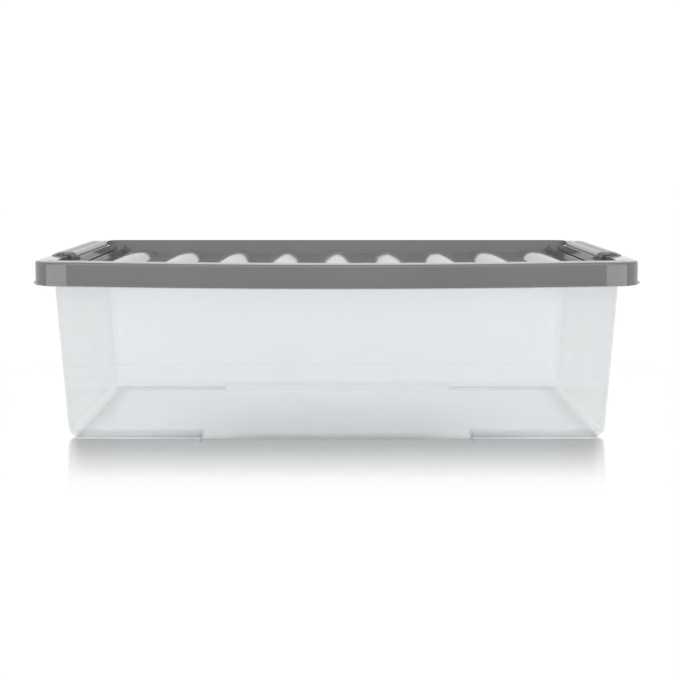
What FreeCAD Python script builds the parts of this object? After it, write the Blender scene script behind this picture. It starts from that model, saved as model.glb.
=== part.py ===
import FreeCAD, Part
import math
import os

# Under bed box: a clear tub, a recessed grey lid and two clips hinged on the lid.
# Millimetres. X runs along the length, Y across the width, Z up. The feet stand on Z = 0.

# Lid, outside
LID_HALF_X = 300.0
LID_HALF_Y = 200.0
LID_CORNER = 37.0
RIM_TOP = 180.0
SKIRT_BOTTOM = 156.0
SKIRT_WALL = 2.2
RIM_WALL = 2.0
RIM_DROP = 0.8
RIM_SLOPE_WIDTH = 14.0
RIM_ROUND = 2.5
BEAD_OUT = 0.5
BEAD_HEIGHT = 3.4

# Lid, recess inside the rim
RECESS_HALF_X = 281.0
RECESS_HALF_Y = 182.0
RECESS_CORNER = 19.0
RECESS_DRAFT = 1.3
RECESS_EDGE = 1.2
PANEL_TOP = 164.0
PANEL_WALL = 2.0

# Lid, nine rounded ribs running front to back
RIB_COUNT = 9
RIB_PITCH = 59.0
RIB_RADIUS = 34.0
RIB_HEIGHT = 6.8
RIB_HALF_LENGTH = 146.0

# Lid, ledge, curb and bead at each short end of the recess
LEDGE_TOP = 175.4
LEDGE_INNER_X = 265.6
LEDGE_HALF_Y = 150.0
CURB_OUTER_X = 269.2
CURB_TOP = 178.6
BORDER_X = 262.0
BORDER_WIDTH = 3.0
BORDER_TOP = 171.0
BORDER_HALF_Y = 160.0

# Lid, webs that rest on the tub
WEB_THICK = 2.0
WEB_COUNT_LONG = 7
WEB_PITCH_LONG = 80.0
WEB_Y_SHORT = 150.0

# Tub
FLOOR_WALL = 2.2
TUB_WALL = 1.9
TUB_FLOOR_HALF_X = 271.2
TUB_FLOOR_HALF_Y = 171.2
TUB_FLOOR_CORNER = 16.0
TUB_TOP_HALF_X = 281.2
TUB_TOP_HALF_Y = 181.2
TUB_TOP_CORNER = 19.0
TUB_FLOOR_ROUND = 10.0
SHOULDER_BOTTOM = 157.3
SHOULDER_TOP = 159.8
COLLAR_OUT = 5.1
COLLAR_WALL = 2.0
FLANGE_TOP = 173.0
FLANGE_OUT = 12.8
LIP_BOTTOM = 154.4
LIP_WALL = 2.0

# Tub, feet: the floor is raised everywhere but at the four corners
FOOT_HEIGHT = 2.2
FOOT_INNER_X = 136.0
FOOT_INNER_Y = 140.0

# Clips
CLIP_HALF_LENGTH = 100.0
PIVOT_X = 273.5
PIVOT_Z = 179.5
BARREL_RADIUS = 3.7
PIN_RADIUS = 1.75
PIN_HOLE_RADIUS = 1.80
PIN_LENGTH = 4.2
LUG_GAP = 0.4
LUG_THICK = 4.0
LUG_RADIUS = 3.9
LUG_ROUND = 1.5
LUG_SHELF_LENGTH = 78.0
CLIP_ARC_X = 283.6
CLIP_ARC_Z = 162.7
CLIP_ARC_OUTER = 21.0
CLIP_WALL = 2.2
CLIP_FLAT_BOTTOM = 154.8
LIP_TIP_X = 315.5
LIP_TIP_Z = 152.4
LIP_THICK = 1.8
BARB_TIP_X = 297.5
BARB_TOP_Z = 151.0
CLIP_BOTTOM = 149.2
GROOVE_COUNT = 3
GROOVE_FIRST_X = 276.6
GROOVE_PITCH = 2.3
GROOVE_WIDTH = 0.9
GROOVE_DEPTH = 0.2
GROOVE_END = 3.0

# Seat for a clip in the lid's rim
SEAT_HALF_Y = 100.8
SEAT_GAP = 0.5
SEAT_INNER_X = 284.2


def section(half_x, half_y, radius, height):
    """A closed rounded rectangle at one height."""
    cut = radius * (1 - math.sqrt(0.5))
    wire_edges = []
    # The four corners as (sign of X, sign of Y), going round.
    corners = [(1, -1), (1, 1), (-1, 1), (-1, -1)]
    for index, (sx, sy) in enumerate(corners):
        along_x = FreeCAD.Vector(sx * (half_x - radius), sy * half_y, height)
        middle = FreeCAD.Vector(sx * (half_x - cut), sy * (half_y - cut), height)
        along_y = FreeCAD.Vector(sx * half_x, sy * (half_y - radius), height)
        start, end = (along_x, along_y) if sx * sy < 0 else (along_y, along_x)
        wire_edges.append(Part.Arc(start, middle, end).toShape())
        nx, ny = corners[(index + 1) % 4]
        if nx * ny < 0:
            following = FreeCAD.Vector(nx * (half_x - radius), ny * half_y, height)
        else:
            following = FreeCAD.Vector(nx * half_x, ny * (half_y - radius), height)
        wire_edges.append(Part.LineSegment(end, following).toShape())
    return Part.Wire(wire_edges)


def stack(levels):
    """A solid through rounded rectangles, each (height, half X, half Y, corner)."""
    wires = [section(half_x, half_y, radius, height) for height, half_x, half_y, radius in levels]
    return Part.makeLoft(wires, True, True)


def slab(half_x, half_y, radius, bottom, top):
    """A straight-sided rounded slab."""
    face = Part.Face(section(half_x, half_y, radius, bottom))
    return face.extrude(FreeCAD.Vector(0, 0, top - bottom))


def box(x0, x1, y0, y1, z0, z1):
    """A box from its two corners."""
    return Part.makeBox(x1 - x0, y1 - y0, z1 - z0, FreeCAD.Vector(x0, y0, z0))


def rod(radius, x, z, y0, y1):
    """A cylinder along Y."""
    return Part.makeCylinder(radius, y1 - y0, FreeCAD.Vector(x, y0, z), FreeCAD.Vector(0, 1, 0))


def edges_at(shape, height):
    """The edges that lie flat at one height."""
    return [e for e in shape.Edges if all(abs(v.Z - height) < 1e-6 for v in e.Vertexes)]


def mirrored(shape):
    """The same shape on the other short side."""
    return shape.mirror(FreeCAD.Vector(0, 0, 0), FreeCAD.Vector(1, 0, 0))


def both_ends(shape):
    """A shape on the right short side and its mirror on the left."""
    return [shape, mirrored(shape)]


def capsule(radius, x, z, half_length):
    """A rod along Y with ball ends."""
    body = rod(radius, x, z, -half_length, half_length)
    for y in (-half_length, half_length):
        body = body.fuse(Part.makeSphere(radius, FreeCAD.Vector(x, y, z)))
    return body


def between_feet(wall, top):
    """The cross-shaped space between the four corner feet, grown by a wall, up to a height."""
    half_x = FOOT_INNER_X + wall
    half_y = FOOT_INNER_Y + wall
    lengthwise = box(-LID_HALF_X, LID_HALF_X, -half_y, half_y, -1, top)
    return lengthwise.fuse(box(-half_x, half_x, -LID_HALF_Y, LID_HALF_Y, -1, top))


def make_tub():
    """The tub: tapered walls, a shoulder, a collar and a turned-down rim, on four low feet."""
    collar_x = TUB_TOP_HALF_X + COLLAR_OUT
    collar_y = TUB_TOP_HALF_Y + COLLAR_OUT
    collar_corner = TUB_TOP_CORNER + COLLAR_OUT
    outside = stack([
        (0, TUB_FLOOR_HALF_X, TUB_FLOOR_HALF_Y, TUB_FLOOR_CORNER),
        (SHOULDER_BOTTOM, TUB_TOP_HALF_X, TUB_TOP_HALF_Y, TUB_TOP_CORNER),
        (SHOULDER_TOP, collar_x, collar_y, collar_corner),
        (FLANGE_TOP, collar_x, collar_y, collar_corner),
    ])
    outside = outside.makeFillet(TUB_FLOOR_ROUND, edges_at(outside, 0))
    outside = outside.cut(between_feet(0, FOOT_HEIGHT))

    rim_x = TUB_TOP_HALF_X + FLANGE_OUT
    rim_y = TUB_TOP_HALF_Y + FLANGE_OUT
    rim_corner = TUB_TOP_CORNER + FLANGE_OUT
    rim = slab(rim_x, rim_y, rim_corner, LIP_BOTTOM, FLANGE_TOP)
    under_rim = slab(rim_x - LIP_WALL, rim_y - LIP_WALL, rim_corner - LIP_WALL,
                     LIP_BOTTOM - 1, FLANGE_TOP - LIP_WALL)
    outside = outside.fuse(rim.cut(under_rim))

    inside = stack([
        (FLOOR_WALL, TUB_FLOOR_HALF_X - TUB_WALL, TUB_FLOOR_HALF_Y - TUB_WALL,
         TUB_FLOOR_CORNER - TUB_WALL),
        (SHOULDER_BOTTOM + 1, TUB_TOP_HALF_X - TUB_WALL, TUB_TOP_HALF_Y - TUB_WALL,
         TUB_TOP_CORNER - TUB_WALL),
        (SHOULDER_TOP + 1, collar_x - COLLAR_WALL, collar_y - COLLAR_WALL,
         collar_corner - COLLAR_WALL),
        (FLANGE_TOP + 1, collar_x - COLLAR_WALL, collar_y - COLLAR_WALL,
         collar_corner - COLLAR_WALL),
    ])
    inside = inside.makeFillet(TUB_FLOOR_ROUND - TUB_WALL, edges_at(inside, FLOOR_WALL))
    inside = inside.cut(between_feet(TUB_WALL, FOOT_HEIGHT + FLOOR_WALL))
    return outside.cut(inside).removeSplitter()


def lug():
    """One hinge lug on the right ledge, at the front end of the clip, and the hole for its pin."""
    y1 = -CLIP_HALF_LENGTH - LUG_GAP
    y0 = y1 - LUG_THICK
    head = rod(LUG_RADIUS, PIVOT_X, PIVOT_Z, y0, y1)
    stem = box(PIVOT_X - LUG_RADIUS, PIVOT_X + LUG_RADIUS, y0, y1, LEDGE_TOP - 1, PIVOT_Z)
    shape = head.fuse(stem).removeSplitter()
    outer_edges = [e for e in shape.Edges if all(abs(v.Y - y0) < 1e-6 for v in e.Vertexes)]
    shape = shape.makeFillet(LUG_ROUND, [e for e in outer_edges if e.BoundBox.ZMax > LEDGE_TOP])
    # A bridge joins it to the rim, a low block joins it to the curb, and a shelf widens the rim beside it.
    rim_x = RECESS_HALF_X + 2 * RECESS_EDGE
    bridge = box(PIVOT_X, rim_x, y0 + LUG_ROUND, y1, LEDGE_TOP - 1, RIM_TOP)
    block = box(LEDGE_INNER_X, PIVOT_X, y0 + LUG_ROUND, y1, LEDGE_TOP - 1, CURB_TOP)
    shelf = box(PIVOT_X + LUG_RADIUS - LUG_GAP, rim_x, y0 - LUG_SHELF_LENGTH, y1, LEDGE_TOP - 1, RIM_TOP)
    hole = rod(PIN_HOLE_RADIUS, PIVOT_X, PIVOT_Z, y0 - 1, y1 + 1)
    return shape.fuse([bridge, block, shelf]), hole


def seat():
    """The place in the right rim where a clip sits: what to cut away and what to put back."""
    outer = CLIP_ARC_OUTER - CLIP_WALL - SEAT_GAP
    inner = outer - RIM_WALL
    around = box(CLIP_ARC_X, LID_HALF_X + 2, -SEAT_HALF_Y, SEAT_HALF_Y, CLIP_ARC_Z, RIM_TOP + 2)
    drum = rod(outer, CLIP_ARC_X, CLIP_ARC_Z, -SEAT_HALF_Y, SEAT_HALF_Y)
    hollow = rod(inner, CLIP_ARC_X, CLIP_ARC_Z, -SEAT_HALF_Y - 1, SEAT_HALF_Y + 1)
    keep = box(SEAT_INNER_X, LID_HALF_X - 0.5, -SEAT_HALF_Y, SEAT_HALF_Y, CLIP_ARC_Z + 4, RIM_TOP + 2)
    return around.cut(drum), drum.cut(hollow).common(keep)


def seat_walls(body):
    """The two walls that close the ends of a seat, cut from the full rim."""
    walls = []
    for y0 in (-SEAT_HALF_Y - RIM_WALL, SEAT_HALF_Y):
        plate = box(RECESS_HALF_X + 1, LID_HALF_X, y0, y0 + RIM_WALL, FLANGE_TOP, RIM_TOP)
        walls.append(plate.common(body))
    return walls


def webs():
    """Thin plates under the rim whose lower edges rest on the tub's rim."""
    plates = []
    half = WEB_THICK / 2
    first = -(WEB_COUNT_LONG - 1) / 2 * WEB_PITCH_LONG
    for index in range(WEB_COUNT_LONG):
        x = first + index * WEB_PITCH_LONG
        for y0, y1 in ((-LID_HALF_Y + 1.5, -RECESS_HALF_Y - 1), (RECESS_HALF_Y + 1, LID_HALF_Y - 1.5)):
            plates.append(box(x - half, x + half, y0, y1, FLANGE_TOP, RIM_TOP - 1.5))
    for y in (-WEB_Y_SHORT, WEB_Y_SHORT):
        plate = box(RECESS_HALF_X + 1, LID_HALF_X - 1.5, y - half, y + half, FLANGE_TOP, RIM_TOP - 1.5)
        plates += both_ends(plate)
    return plates


def hood(inset, bottom, top):
    """The lid's outer form, drawn in all round: upright sides and a top that falls to its outer edge."""
    half_x = LID_HALF_X - inset
    half_y = LID_HALF_Y - inset
    corner = LID_CORNER - inset
    return stack([
        (bottom, half_x, half_y, corner),
        (top - RIM_DROP, half_x, half_y, corner),
        (top, half_x - RIM_SLOPE_WIDTH, half_y - RIM_SLOPE_WIDTH, corner - RIM_SLOPE_WIDTH),
    ])


def make_lid():
    """The lid: a hollow rim with a skirt around a recessed, ribbed panel."""
    body = hood(0, SKIRT_BOTTOM, RIM_TOP)
    body = body.makeFillet(RIM_ROUND, edges_at(body, RIM_TOP - RIM_DROP))
    bead = slab(LID_HALF_X + BEAD_OUT, LID_HALF_Y + BEAD_OUT, LID_CORNER + BEAD_OUT,
                SKIRT_BOTTOM, SKIRT_BOTTOM + BEAD_HEIGHT)
    channel = hood(SKIRT_WALL, SKIRT_BOTTOM - 1, RIM_TOP - RIM_WALL)
    shell = body.fuse(bead).cut(channel)

    # Clip seats come before the webs, so that no web stands proud of a seat.
    cut_away, put_back = seat()
    shell = shell.cut(both_ends(cut_away))
    additions = both_ends(put_back) + [web.common(body) for web in webs()]
    for wall in seat_walls(body):
        additions += both_ends(wall)

    # The recess with its sloped walls, as a dish of even thickness.
    low_x = RECESS_HALF_X - RECESS_DRAFT
    low_y = RECESS_HALF_Y - RECESS_DRAFT
    low_corner = RECESS_CORNER - RECESS_DRAFT
    dish = stack([
        (PANEL_TOP - PANEL_WALL, low_x + RIM_WALL, low_y + RIM_WALL, low_corner + RIM_WALL),
        (RIM_TOP - 1.5, RECESS_HALF_X + RIM_WALL, RECESS_HALF_Y + RIM_WALL, RECESS_CORNER + RIM_WALL),
    ])
    recess = stack([
        (PANEL_TOP, low_x, low_y, low_corner),
        (RIM_TOP - RECESS_EDGE, RECESS_HALF_X, RECESS_HALF_Y, RECESS_CORNER),
        (RIM_TOP + RECESS_EDGE, RECESS_HALF_X + 2 * RECESS_EDGE, RECESS_HALF_Y + 2 * RECESS_EDGE,
         RECESS_CORNER + 2 * RECESS_EDGE),
    ])
    lid = shell.fuse(additions + [dish]).cut(recess)

    # Ribs, hollow from below so that the wall stays even.
    above_panel = box(-LID_HALF_X, LID_HALF_X, -LID_HALF_Y, LID_HALF_Y,
                      PANEL_TOP - PANEL_WALL, RIM_TOP)
    rib_z = PANEL_TOP + RIB_HEIGHT - RIB_RADIUS
    ribs = []
    hollows = []
    for index in range(RIB_COUNT):
        x = (index - (RIB_COUNT - 1) / 2) * RIB_PITCH
        ribs.append(capsule(RIB_RADIUS, x, rib_z, RIB_HALF_LENGTH).common(above_panel))
        hollows.append(capsule(RIB_RADIUS - PANEL_WALL, x, rib_z, RIB_HALF_LENGTH))

    # Ledge, curb beside the clip's barrel, border bead and hinge lugs at both short ends.
    ledge = box(LEDGE_INNER_X, RECESS_HALF_X + 0.5, -LEDGE_HALF_Y, LEDGE_HALF_Y,
                PANEL_TOP - PANEL_WALL, LEDGE_TOP)
    ledge_hollow = box(LEDGE_INNER_X + PANEL_WALL, low_x, -LEDGE_HALF_Y + PANEL_WALL,
                       LEDGE_HALF_Y - PANEL_WALL, PANEL_TOP - PANEL_WALL - 1, LEDGE_TOP - PANEL_WALL)
    curb_half_y = CLIP_HALF_LENGTH + LUG_GAP + LUG_THICK - LUG_ROUND
    curb = box(LEDGE_INNER_X, CURB_OUTER_X, -curb_half_y, curb_half_y, LEDGE_TOP - 1, CURB_TOP)
    border = box(BORDER_X - BORDER_WIDTH / 2, BORDER_X + BORDER_WIDTH / 2,
                 -BORDER_HALF_Y, BORDER_HALF_Y, PANEL_TOP - 1, BORDER_TOP)
    front_lug, front_hole = lug()
    across = FreeCAD.Vector(0, 1, 0)
    rear_lug = front_lug.mirror(FreeCAD.Vector(0, 0, 0), across)
    rear_hole = front_hole.mirror(FreeCAD.Vector(0, 0, 0), across)
    raised = ribs
    for shape in (ledge, curb, border, front_lug, rear_lug):
        raised += both_ends(shape)
    for shape in (ledge_hollow, front_hole, rear_hole):
        hollows += both_ends(shape)
    return lid.fuse(raised).cut(hollows).removeSplitter()


def make_clip():
    """The right clip: a barrel with two pins, a plate bent over the rim, a finger lip and a barb."""
    y0 = -CLIP_HALF_LENGTH
    y1 = CLIP_HALF_LENGTH
    inner = CLIP_ARC_OUTER - CLIP_WALL
    outer_x = CLIP_ARC_X + CLIP_ARC_OUTER
    inner_x = CLIP_ARC_X + inner
    top_z = CLIP_ARC_Z + CLIP_ARC_OUTER
    bend = rod(CLIP_ARC_OUTER, CLIP_ARC_X, CLIP_ARC_Z, y0, y1)
    bend = bend.cut(rod(inner, CLIP_ARC_X, CLIP_ARC_Z, y0 - 1, y1 + 1))
    quarter = box(CLIP_ARC_X, outer_x + 1, y0, y1, CLIP_ARC_Z, top_z + 1)
    bend = bend.common(quarter)

    # From the barrel's top to the bend; the underside stays level.
    bridge_points = [
        (PIVOT_X, PIVOT_Z + BARREL_RADIUS),
        (CLIP_ARC_X, top_z),
        (CLIP_ARC_X, RIM_TOP + SEAT_GAP),
        (PIVOT_X + 2, RIM_TOP + SEAT_GAP),
        (PIVOT_X, PIVOT_Z),
    ]
    # Down the outside, out to the finger lip and in to the barb.
    skirt_points = [
        (inner_x, CLIP_ARC_Z),
        (outer_x, CLIP_ARC_Z),
        (outer_x, CLIP_FLAT_BOTTOM),
        (outer_x + 2.4, LIP_TIP_Z + 0.6),
        (LIP_TIP_X, LIP_TIP_Z),
        (LIP_TIP_X, LIP_TIP_Z - LIP_THICK),
        (outer_x + 1.6, CLIP_BOTTOM),
        (BARB_TIP_X + 1.0, CLIP_BOTTOM),
        (BARB_TIP_X, CLIP_BOTTOM + 0.8),
        (BARB_TIP_X, BARB_TOP_Z - 0.4),
        (BARB_TIP_X + 0.6, BARB_TOP_Z),
        (inner_x, BARB_TOP_Z + 1.4),
    ]
    parts = [bend]
    for points in (bridge_points, skirt_points):
        loop = [FreeCAD.Vector(x, y0, z) for x, z in points]
        outline = Part.makePolygon(loop + [loop[0]])
        parts.append(Part.Face(outline).extrude(FreeCAD.Vector(0, y1 - y0, 0)))
    parts.append(rod(PIN_RADIUS, PIVOT_X, PIVOT_Z, y0 - PIN_LENGTH, y1 + PIN_LENGTH))
    barrel = rod(BARREL_RADIUS, PIVOT_X, PIVOT_Z, y0, y1)
    clip = barrel.fuse(parts)

    # Shallow grooves along the top, between the barrel and the bend.
    rise = (top_z - PIVOT_Z - BARREL_RADIUS) / (CLIP_ARC_X - PIVOT_X)
    grooves = []
    for index in range(GROOVE_COUNT):
        x = GROOVE_FIRST_X + index * GROOVE_PITCH
        bottom = PIVOT_Z + BARREL_RADIUS + rise * (x - PIVOT_X) - GROOVE_DEPTH
        grooves.append(box(x, x + GROOVE_WIDTH, y0 + GROOVE_END, y1 - GROOVE_END, bottom, top_z + 1))
    return clip.cut(grooves).removeSplitter()


os.makedirs("parts", exist_ok=True)
right_clip = make_clip()
pieces = {
    "tub": make_tub(),
    "lid": make_lid(),
    "clip_right": right_clip,
    "clip_left": mirrored(right_clip),
}
for name, shape in pieces.items():
    solid = shape.Solids[0]
    solid.exportStep("parts/" + name + ".step")
    print(name, len(shape.Solids), shape.isValid(), round(solid.Volume / 1000, 1), "cm3")
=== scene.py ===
import math

import bmesh
import bpy
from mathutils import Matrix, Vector


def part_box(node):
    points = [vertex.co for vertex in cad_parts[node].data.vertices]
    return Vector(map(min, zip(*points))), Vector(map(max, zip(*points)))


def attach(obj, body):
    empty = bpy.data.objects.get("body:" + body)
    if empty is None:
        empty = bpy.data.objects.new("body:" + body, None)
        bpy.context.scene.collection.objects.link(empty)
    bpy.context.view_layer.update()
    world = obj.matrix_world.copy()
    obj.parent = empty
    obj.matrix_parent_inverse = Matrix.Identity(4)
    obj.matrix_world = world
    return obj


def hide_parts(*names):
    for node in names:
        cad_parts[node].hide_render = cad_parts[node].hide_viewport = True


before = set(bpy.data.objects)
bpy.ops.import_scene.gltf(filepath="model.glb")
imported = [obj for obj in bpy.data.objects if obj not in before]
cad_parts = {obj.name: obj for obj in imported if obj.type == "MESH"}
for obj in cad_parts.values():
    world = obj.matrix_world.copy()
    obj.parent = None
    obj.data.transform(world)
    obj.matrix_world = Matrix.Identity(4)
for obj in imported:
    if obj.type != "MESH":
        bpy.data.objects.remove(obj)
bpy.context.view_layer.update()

# Lengths and places are in metres, colours and brightness are linear.

# The camera stands in front of the box and looks slightly down.
CAMERA_PLACE = (0.0014, -1.637, 0.2808)
CAMERA_DOWN_DEG = 6.957
CAMERA_LENS_MM = 78.82
CAMERA_SENSOR_MM = 36.0

# The sky's brightness in front of the box, beside it and behind it, and where on the way from
# front (0) to behind (1) each is reached.
SKY_FRONT = 2.2
SKY_FRONT_AT = 0.1
SKY_BESIDE = 1.0
SKY_BESIDE_AT = 0.45
SKY_BEHIND = 1.02
SKY_BEHIND_AT = 0.75

# Softboxes low in front, one at each side: the right one's centre, their size and power.
BOX_PLACE = (1.05, -0.985, 0.1)
BOX_WIDTH = 1.5
BOX_HEIGHT = 0.16
BOX_WATTS = 1.9

# The floor glows white, and mirrors most right beside the tub's base and less under it.
FLOOR_SIZE = 12.0
FLOOR_COLOUR = 0.1
FLOOR_GLOW = 0.88
FLOOR_ROUGH = 0.8
MIRROR_ROUGH = 0.05
MIRROR_MOST = 0.9
MIRROR_END = 0.24
MIRROR_UNDER = 0.25
MIRROR_UNDER_DEPTH = 0.03

# The tub's base is drawn in from its rim. Its feet lie beyond these distances from the middle.
BASE_INSET = 0.0228
BASE_ROUND = 0.008
FOOT_INNER_X = 0.136
FOOT_INNER_Y = 0.140

# Soft shade on the floor in front of the base: how dark, whole up to one distance, gone at
# another, and how fast its sides close in.
SHADE_FRONT = 0.38
SHADE_FRONT_FULL = 0.055
SHADE_FRONT_END = 0.19
SHADE_FRONT_TAPER = 0.18
SHADE_FRONT_EDGE = 0.012

# Soft shade under the base, gone towards the rear and the ends, and a faint glow in its middle.
SHADE_UNDER = 0.4
SHADE_UNDER_REAR = 0.1
SHADE_UNDER_FULL_X = 0.08
SHADE_UNDER_END_X = 0.2
GLOW_UNDER = 0.11

# Darker contact under the feet, fainter at the rear, and along the base's edge.
SHADE_FOOT = 0.22
SHADE_FOOT_REAR = 0.04
SHADE_BASE_EDGE = 0.05
BASE_EDGE_WIDTH = 0.012

# The lid's front edge, and the tub's rim under it, sag between the corners. The sag grows from
# nothing at the END values to its whole at the WHOLE values.
SAG = 0.0023
SAG_HALF_LENGTH = 0.25
SAG_END_Y = -0.140
SAG_WHOLE_Y = -0.183
SAG_END_Z = 0.100
SAG_WHOLE_Z = 0.154
SAG_CUTS_ALONG = 24
SAG_CUTS_DEEP = 4
MERGE_DISTANCE = 0.000001

# Natural polypropylene.
CLEAR_TINT = (0.947, 0.96, 0.9665)
MILK_TINT = (0.80, 0.81, 0.815)
MILK_BACK_SHARE = 0.5
CLEAR_HAZE = 0.21
CLEAR_HAZE_SPREAD = 0.02
CLEAR_CLOUD_SCALE = 14.0
CLEAR_ROUGH = 0.12
CLEAR_IOR = 1.49

# A wall seen at a slant also mirrors the white surroundings; this reflection is painted in as a paler
# tint.
SLANT_REFLECTION_TINT = (0.985, 0.985, 0.98)
SLANT_START = 0.5
SLANT_WHOLE = 0.9

# The tub's upright corners, seen edge-on, get painted shade: a darker tint.
CORNER_X = 0.256
CORNER_Y = 0.156
CORNER_SHADE = 0.24
CORNER_START = 0.4
CORNER_WHOLE = 0.8

# The upright steps between its feet and its raised floor get painted shade too, less so at the rear.
STEP_SLACK = 0.0004
STEP_THICK = 0.0022
STEP_TOP = 0.0047
STEP_SHADE = 0.17
STEP_SHADE_REAR = 0.04

# Grey polypropylene: colour, roughness, and the height and scale of its grain.
LID_COLOUR = (0.105, 0.105, 0.108)
LID_ROUGH = 0.07
LID_GRAIN_HEIGHT = 0.000004
LID_GRAIN_SCALE = 900.0
CLIP_COLOUR = (0.18, 0.18, 0.184)
CLIP_ROUGH = 0.22
CLIP_GRAIN_HEIGHT = 0.00001
CLIP_GRAIN_SCALE = 700.0
GREY_IOR = 1.5
GREY_FLOW_SCALE = 9.0
GREY_FLOW_SPREAD = 0.06
GREY_PATCH_SCALE = 40.0
GREY_SMOOTHER = 0.02
GREY_ROUGHER = 0.03
GRAIN_DETAIL = 2.0

# The part of a noise's range that is used, and its detail.
NOISE_LOW = 0.3
NOISE_HIGH = 0.7
NOISE_DETAIL = 3.0

ALONG_X = Vector((1, 0, 0))
ALONG_Y = Vector((0, 1, 0))
ALONG_Z = Vector((0, 0, 1))


class Graph:
    """The emptied node tree of a material or of the world, with short ways to fill it."""

    def __init__(self, owner):
        owner.use_nodes = True
        self.nodes = owner.node_tree.nodes
        self.links = owner.node_tree.links
        self.nodes.clear()

    def put(self, value, socket):
        """Links an output to an input, or sets the input to a number or a colour."""
        if isinstance(value, bpy.types.NodeSocket):
            self.links.new(value, socket)
        else:
            socket.default_value = value

    def add(self, kind, inputs=None, **settings):
        """A node with some of its settings and inputs."""
        node = self.nodes.new(kind)
        for name, value in settings.items():
            setattr(node, name, value)
        for name, value in (inputs or {}).items():
            self.put(value, node.inputs[name])
        return node

    def calc(self, operation, first, second):
        """A simple function of two numbers."""
        return self.add("ShaderNodeMath", {0: first, 1: second}, operation=operation).outputs[0]

    def product(self, first, *others):
        """The product of several numbers."""
        for other in others:
            first = self.calc("MULTIPLY", first, other)
        return first

    def rest_of(self, share):
        """What a share leaves of 1."""
        return self.calc("SUBTRACT", 1.0, share)

    def vector(self, operation, *vectors, result="Vector"):
        """A function of one or two vectors."""
        node = self.add("ShaderNodeVectorMath", dict(enumerate(vectors)), operation=operation)
        return node.outputs[result]

    def scaled(self, colour, factor):
        """A colour times a number."""
        node = self.add("ShaderNodeVectorMath", {0: colour, "Scale": factor}, operation="SCALE")
        return node.outputs["Vector"]

    def split(self, vector):
        """The X, Y and Z of a vector."""
        return tuple(self.add("ShaderNodeSeparateXYZ", {0: vector}).outputs)

    def ranged(self, source, low, high, out_low, out_high):
        """A number mapped from one range to another, and held inside it."""
        node = self.add("ShaderNodeMapRange", {
            "Value": source, "From Min": low, "From Max": high, "To Min": out_low, "To Max": out_high})
        return node.outputs["Result"]

    def noise(self, place, scale, detail=NOISE_DETAIL):
        """Noise over a place, about 0 to 1."""
        node = self.add("ShaderNodeTexNoise", {"Vector": place, "Scale": scale, "Detail": detail})
        return node.outputs["Fac"]

    def spread(self, place, scale, low, high):
        """Noise over a place, between two values."""
        return self.ranged(self.noise(place, scale), NOISE_LOW, NOISE_HIGH, low, high)

    def mixed(self, share, first, second):
        """A mix of two shaders, with a given share of the second."""
        inputs = {0: share, 1: first.outputs[0], 2: second.outputs[0]}
        return self.add("ShaderNodeMixShader", inputs)

    def finish(self, shader, kind="ShaderNodeOutputMaterial"):
        """Sends the last shader to the output."""
        self.add(kind, {"Surface": shader.outputs[0]})


def grey_plastic(name, colour, rough, grain_height, grain_scale):
    """Solid moulded polypropylene, with a fine grain and faint flow marks."""
    material = bpy.data.materials.new(name)
    graph = Graph(material)
    place = graph.add("ShaderNodeTexCoord").outputs["Object"]
    flow = graph.spread(place, GREY_FLOW_SCALE, 1 - GREY_FLOW_SPREAD, 1 + GREY_FLOW_SPREAD)
    fine = graph.noise(place, grain_scale, GRAIN_DETAIL)
    bump = graph.add("ShaderNodeBump", {"Strength": 1.0, "Distance": grain_height, "Height": fine})
    shader = graph.add("ShaderNodeBsdfPrincipled", {
        "IOR": GREY_IOR,
        "Base Color": graph.scaled(colour, flow),
        "Roughness": graph.spread(place, GREY_PATCH_SCALE, rough - GREY_SMOOTHER, rough + GREY_ROUGHER),
        "Normal": bump.outputs[0]})
    graph.finish(shader)
    return material


def in_step(graph, size):
    """1 in the upright steps between the tub's feet and its raised floor, 0 elsewhere."""
    size_x, size_y, height = graph.split(size)
    into_foot = graph.calc("MINIMUM", graph.calc("SUBTRACT", size_x, FOOT_INNER_X),
                           graph.calc("SUBTRACT", size_y, FOOT_INNER_Y))
    return graph.product(graph.calc("GREATER_THAN", into_foot, -STEP_SLACK),
                         graph.calc("LESS_THAN", into_foot, STEP_THICK),
                         graph.calc("LESS_THAN", height, STEP_TOP))


def on_corner(graph, size, place, normal, entering):
    """1 on the outer skin of the tub's upright corners, where a ray enters it."""
    size_x, size_y, _ = graph.split(size)
    outward = graph.vector("DOT_PRODUCT", place, normal, result="Value")
    return graph.product(graph.calc("GREATER_THAN", size_x, CORNER_X),
                         graph.calc("GREATER_THAN", size_y, CORNER_Y),
                         graph.calc("GREATER_THAN", outward, 0.0), entering)


def wall_tint(graph, place, normal, entering):
    """The clear wall's tint, with painted reflection on its slanted walls and painted shade on its
    corners and steps.
    """
    size = graph.vector("ABSOLUTE", place)
    slant = graph.add("ShaderNodeLayerWeight").outputs["Facing"]
    corner = on_corner(graph, size, place, normal, entering)
    # Slanted walls get a paler tint: a painted reflection of the white surroundings.
    reflection_share = graph.product(graph.ranged(slant, SLANT_START, SLANT_WHOLE, 0, 1), graph.rest_of(corner))
    inputs = {"Factor": reflection_share, "A": CLEAR_TINT, "B": SLANT_REFLECTION_TINT}
    tint = graph.add("ShaderNodeMix", inputs, data_type="VECTOR").outputs["Result"]

    # Painted shade on the steps, fainter towards the rear.
    step_shade = graph.ranged(graph.split(place)[1], -FOOT_INNER_Y, FOOT_INNER_Y,
                             STEP_SHADE, STEP_SHADE_REAR)
    # Painted shade on the corners, stronger the more edge-on they are seen.
    corner_shade = graph.ranged(slant, CORNER_START, CORNER_WHOLE, 0, CORNER_SHADE)
    painted_shade = graph.calc("ADD", graph.product(in_step(graph, size), step_shade),
                        graph.product(corner, corner_shade))
    return graph.scaled(tint, graph.rest_of(painted_shade))


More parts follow.
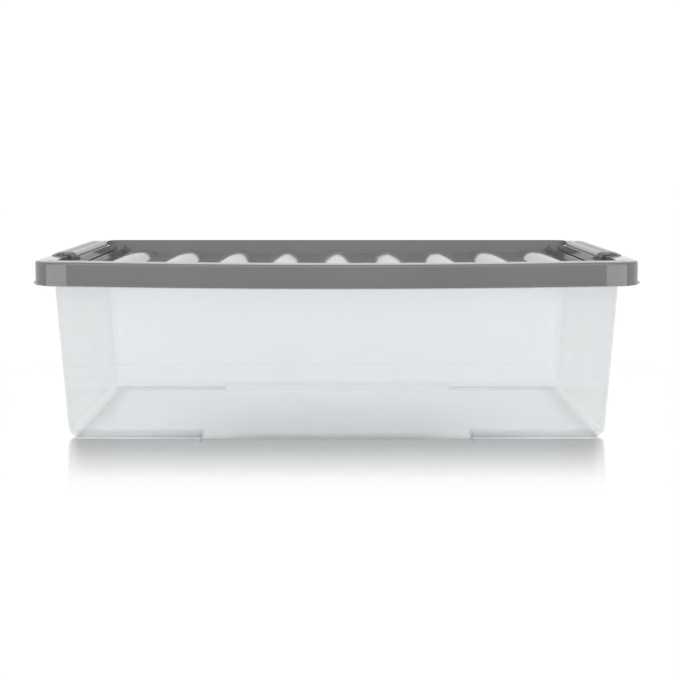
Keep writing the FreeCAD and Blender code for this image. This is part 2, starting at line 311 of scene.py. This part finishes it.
def clear_plastic(name):
    """Natural polypropylene: a thin see-through wall with a milky haze and a soft gloss."""
    material = bpy.data.materials.new(name)
    graph = Graph(material)
    here = graph.add("ShaderNodeTexCoord").outputs
    place = here["Object"]

    # The wall scatters and shines once, where a ray enters it, and not again where it leaves.
    leaving = graph.add("ShaderNodeNewGeometry").outputs["Backfacing"]
    entering = graph.rest_of(leaving)

    # The milky share of the wall is lit from both of its sides.
    front_lit = graph.add("ShaderNodeBsdfDiffuse", {"Color": (*MILK_TINT, 1)})
    back_lit = graph.add("ShaderNodeBsdfTranslucent", {"Color": (*MILK_TINT, 1)})
    milk = graph.mixed(MILK_BACK_SHARE, front_lit, back_lit)

    tint = wall_tint(graph, place, here["Normal"], entering)
    clear = graph.add("ShaderNodeBsdfTransparent", {"Color": tint})
    haze = graph.spread(place, CLEAR_CLOUD_SCALE,
                        CLEAR_HAZE - CLEAR_HAZE_SPREAD, CLEAR_HAZE + CLEAR_HAZE_SPREAD)
    wall = graph.mixed(graph.product(haze, entering), clear, milk)

    gloss = graph.add("ShaderNodeBsdfGlossy", {"Roughness": CLEAR_ROUGH})
    edge = graph.add("ShaderNodeFresnel", {"IOR": CLEAR_IOR}).outputs[0]
    graph.finish(graph.mixed(graph.product(edge, entering), wall, gloss))
    return material


def floor_shade(graph, place, outside, base_x, base_y):
    """How dark the floor is: in front of the tub's base, under it, and where it touches."""
    out_x, out_y, _ = graph.split(outside)
    out_most = graph.calc("MAXIMUM", out_x, out_y)
    place_y = graph.split(place)[1]
    ahead = graph.calc("SUBTRACT", -base_y, place_y)
    in_front = graph.calc("GREATER_THAN", ahead, 0.0)

    taper = graph.calc("ADD", graph.product(ahead, SHADE_FRONT_TAPER), out_x)
    front = graph.product(graph.ranged(ahead, SHADE_FRONT_FULL, SHADE_FRONT_END, SHADE_FRONT, 0),
                          graph.ranged(taper, -SHADE_FRONT_EDGE, 0, 1, 0), in_front)
    under = graph.product(graph.ranged(place_y, -base_y, SHADE_UNDER_REAR, SHADE_UNDER, 0),
                          graph.ranged(out_x, SHADE_UNDER_FULL_X - base_x,
                                       SHADE_UNDER_END_X - base_x, 1, 0),
                          graph.rest_of(in_front))

    foot = graph.product(graph.calc("GREATER_THAN", out_x, FOOT_INNER_X - base_x),
                         graph.calc("GREATER_THAN", out_y, FOOT_INNER_Y - base_y),
                         graph.ranged(place_y, -base_y, base_y, SHADE_FOOT, SHADE_FOOT_REAR))
    edge = graph.ranged(out_most, -BASE_ROUND - BASE_EDGE_WIDTH, -BASE_ROUND,
                        -GLOW_UNDER, SHADE_BASE_EDGE)
    contact = graph.product(graph.calc("ADD", foot, edge),
                            graph.calc("LESS_THAN", out_most, -BASE_ROUND))
    return graph.calc("ADD", front, graph.calc("ADD", under, contact))


def floor_mirror(graph, outside):
    """How much the floor mirrors: less and less away from the tub's base, and under it."""
    out_x, out_y, _ = graph.split(outside)
    distance = graph.vector("LENGTH", graph.vector("MAXIMUM", outside), result="Value")
    beside = graph.ranged(distance, 0, MIRROR_END, MIRROR_MOST, 0)
    under = graph.ranged(graph.calc("MAXIMUM", out_x, out_y), -MIRROR_UNDER_DEPTH, 0, MIRROR_UNDER, 1)
    return graph.product(beside, under)


def floor_material():
    """White floor with a soft mirror and soft shade about the tub's base."""
    material = bpy.data.materials.new("floor")
    graph = Graph(material)
    place = graph.add("ShaderNodeTexCoord").outputs["Object"]
    tub_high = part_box("tub")[1]
    base_x = tub_high[0] - BASE_INSET
    base_y = tub_high[1] - BASE_INSET

    # How far a point lies outside the base along X and along Y, below 0 inside it.
    outside = graph.vector("SUBTRACT", graph.vector("ABSOLUTE", place), (base_x, base_y, 0))
    light = graph.rest_of(floor_shade(graph, place, outside, base_x, base_y))
    matt = graph.add("ShaderNodeBsdfPrincipled", {
        "Base Color": graph.product(light, FLOOR_COLOUR),
        "Roughness": FLOOR_ROUGH,
        "Specular IOR Level": 0.0,
        "Emission Color": (1, 1, 1, 1),
        "Emission Strength": graph.product(light, FLOOR_GLOW)})
    mirror = graph.add("ShaderNodeBsdfGlossy", {"Color": light, "Roughness": MIRROR_ROUGH})
    graph.finish(graph.mixed(floor_mirror(graph, outside), matt, mirror))
    return material


def eased(value):
    """0 below 0, 1 above 1, and smooth between."""
    held = min(1.0, max(0.0, value))
    return held * held * (3 - 2 * held)


def between(start, end, share):
    """A value part of the way from a start to an end."""
    return start + (end - start) * share


def sag_at(point):
    """How far a point of the lid or the tub sags."""
    along = max(0.0, 1 - (point.x / SAG_HALF_LENGTH) ** 2)
    forward = eased((SAG_END_Y - point.y) / (SAG_END_Y - SAG_WHOLE_Y))
    upward = eased((point.z - SAG_END_Z) / (SAG_WHOLE_Z - SAG_END_Z))
    return SAG * along * forward * upward


def cut(work, faces, axis, place):
    """Cuts some faces along one plane."""
    edges = {edge for face in faces for edge in face.edges}
    points = {point for face in faces for point in face.verts}
    bmesh.ops.bisect_plane(work, geom=[*points, *edges, *faces], dist=MERGE_DISTANCE,
                           plane_co=axis * place, plane_no=axis)


def cut_front(work, axis, place):
    """Cuts the faces in front of the sag's rear end along one plane."""
    faces = [face for face in work.faces if face.calc_center_median().y < SAG_END_Y]
    cut(work, faces, axis, place)


def cut_for_sag(work):
    """Cuts a piece finely enough to bend where it sags."""
    cut(work, list(work.faces), ALONG_Y, SAG_END_Y)
    for index in range(SAG_CUTS_ALONG + 1):
        share = index / SAG_CUTS_ALONG
        cut_front(work, ALONG_X, between(-SAG_HALF_LENGTH, SAG_HALF_LENGTH, share))
    for index in range(SAG_CUTS_DEEP):
        cut_front(work, ALONG_Y, between(SAG_END_Y, SAG_WHOLE_Y, (index + 1) / SAG_CUTS_DEEP))
        cut_front(work, ALONG_Z, between(SAG_END_Z, SAG_WHOLE_Z, index / (SAG_CUTS_DEEP - 1)))
    bmesh.ops.dissolve_degenerate(work, dist=MERGE_DISTANCE, edges=work.edges)


def sagged_mesh(name, source):
    """A copy of a CAD mesh whose front edge sags, with the CAD's own normals."""
    work = bmesh.new()
    work.from_mesh(source)
    # Cuts would lose the normals, so they travel along with the faces' corners.
    kept = work.loops.layers.float_vector.new("kept_normal")
    corners = [corner for face in work.faces for corner in face.loops]
    for corner, normal in zip(corners, source.corner_normals):
        corner[kept] = normal.vector
    bmesh.ops.remove_doubles(work, verts=work.verts, dist=MERGE_DISTANCE)
    cut_for_sag(work)
    for point in work.verts:
        point.co.z -= sag_at(point.co)
    mesh = bpy.data.meshes.new(name)
    work.to_mesh(mesh)
    work.free()

    for face in mesh.polygons:
        face.use_smooth = True
    normals = [corner.vector.normalized() for corner in mesh.attributes["kept_normal"].data]
    mesh.normals_split_custom_set(normals)
    mesh.attributes.remove(mesh.attributes["kept_normal"])
    return mesh


def sagged(node, material):
    """A piece whose front edge sags, which stands in for a CAD node."""
    mesh = sagged_mesh(node + "_sagged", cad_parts[node].data)
    mesh.materials.append(material)
    piece = bpy.data.objects.new(node + "_sagged", mesh)
    bpy.context.scene.collection.objects.link(piece)
    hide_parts(node)
    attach(piece, node)


def use(node, material):
    """Gives a CAD node one material."""
    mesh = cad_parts[node].data
    mesh.materials.clear()
    mesh.materials.append(material)


def make_floor():
    """A large flat floor at Z = 0."""
    mesh = bpy.data.meshes.new("floor")
    half = FLOOR_SIZE / 2
    corners = [(-half, -half, 0), (half, -half, 0), (half, half, 0), (-half, half, 0)]
    mesh.from_pydata(corners, [], [(0, 1, 2, 3)])
    floor = bpy.data.objects.new("floor", mesh)
    bpy.context.scene.collection.objects.link(floor)
    mesh.materials.append(floor_material())


def make_sky():
    """Soft white surroundings, brightest in front of the box."""
    world = bpy.data.worlds.new("studio")
    bpy.context.scene.world = world
    graph = Graph(world)
    way = graph.add("ShaderNodeTexCoord").outputs["Generated"]
    to_behind = graph.ranged(graph.split(way)[1], -1, 1, 0, 1)
    ramp = graph.add("ShaderNodeValToRGB", {0: to_behind})
    ramp.color_ramp.elements.new(SKY_BESIDE_AT)
    levels = ((SKY_FRONT_AT, SKY_FRONT), (SKY_BESIDE_AT, SKY_BESIDE), (SKY_BEHIND_AT, SKY_BEHIND))
    for stop, (position, level) in zip(ramp.color_ramp.elements, levels):
        stop.position = position
        stop.color = (level, level, level, 1)
    sky = graph.add("ShaderNodeBackground", {"Color": ramp.outputs[0]})
    graph.finish(sky, "ShaderNodeOutputWorld")


def make_softboxes():
    """Two wide soft lights in front, turned towards the box."""
    right_x, place_y, height = BOX_PLACE
    for side in (-1, 1):
        data = bpy.data.lights.new("softbox", "AREA")
        data.shape = "RECTANGLE"
        data.size = BOX_WIDTH
        data.size_y = BOX_HEIGHT
        data.energy = BOX_WATTS
        light = bpy.data.objects.new("softbox", data)
        bpy.context.scene.collection.objects.link(light)
        light.location = (side * right_x, place_y, height)
        aim = ALONG_Z * height - light.location
        light.rotation_euler = aim.to_track_quat("-Z", "Y").to_euler()
        light.visible_camera = False


def make_camera():
    """The camera at the photograph's viewing angle."""
    data = bpy.data.cameras.new("camera")
    data.lens = CAMERA_LENS_MM
    data.sensor_width = CAMERA_SENSOR_MM
    camera = bpy.data.objects.new("camera", data)
    bpy.context.scene.collection.objects.link(camera)
    camera.location = CAMERA_PLACE
    camera.rotation_euler = (math.radians(90 - CAMERA_DOWN_DEG), 0, 0)
    bpy.context.scene.camera = camera


lid_plastic = grey_plastic("grey_plastic", LID_COLOUR, LID_ROUGH, LID_GRAIN_HEIGHT, LID_GRAIN_SCALE)
clip_plastic = grey_plastic("grey_clip_plastic", CLIP_COLOUR, CLIP_ROUGH,
                            CLIP_GRAIN_HEIGHT, CLIP_GRAIN_SCALE)
sagged("tub", clear_plastic("clear_plastic"))
sagged("lid", lid_plastic)
use("clip_left", clip_plastic)
use("clip_right", clip_plastic)
make_floor()
make_sky()
make_softboxes()
make_camera()
bpy.context.scene.view_settings.view_transform = "Standard"
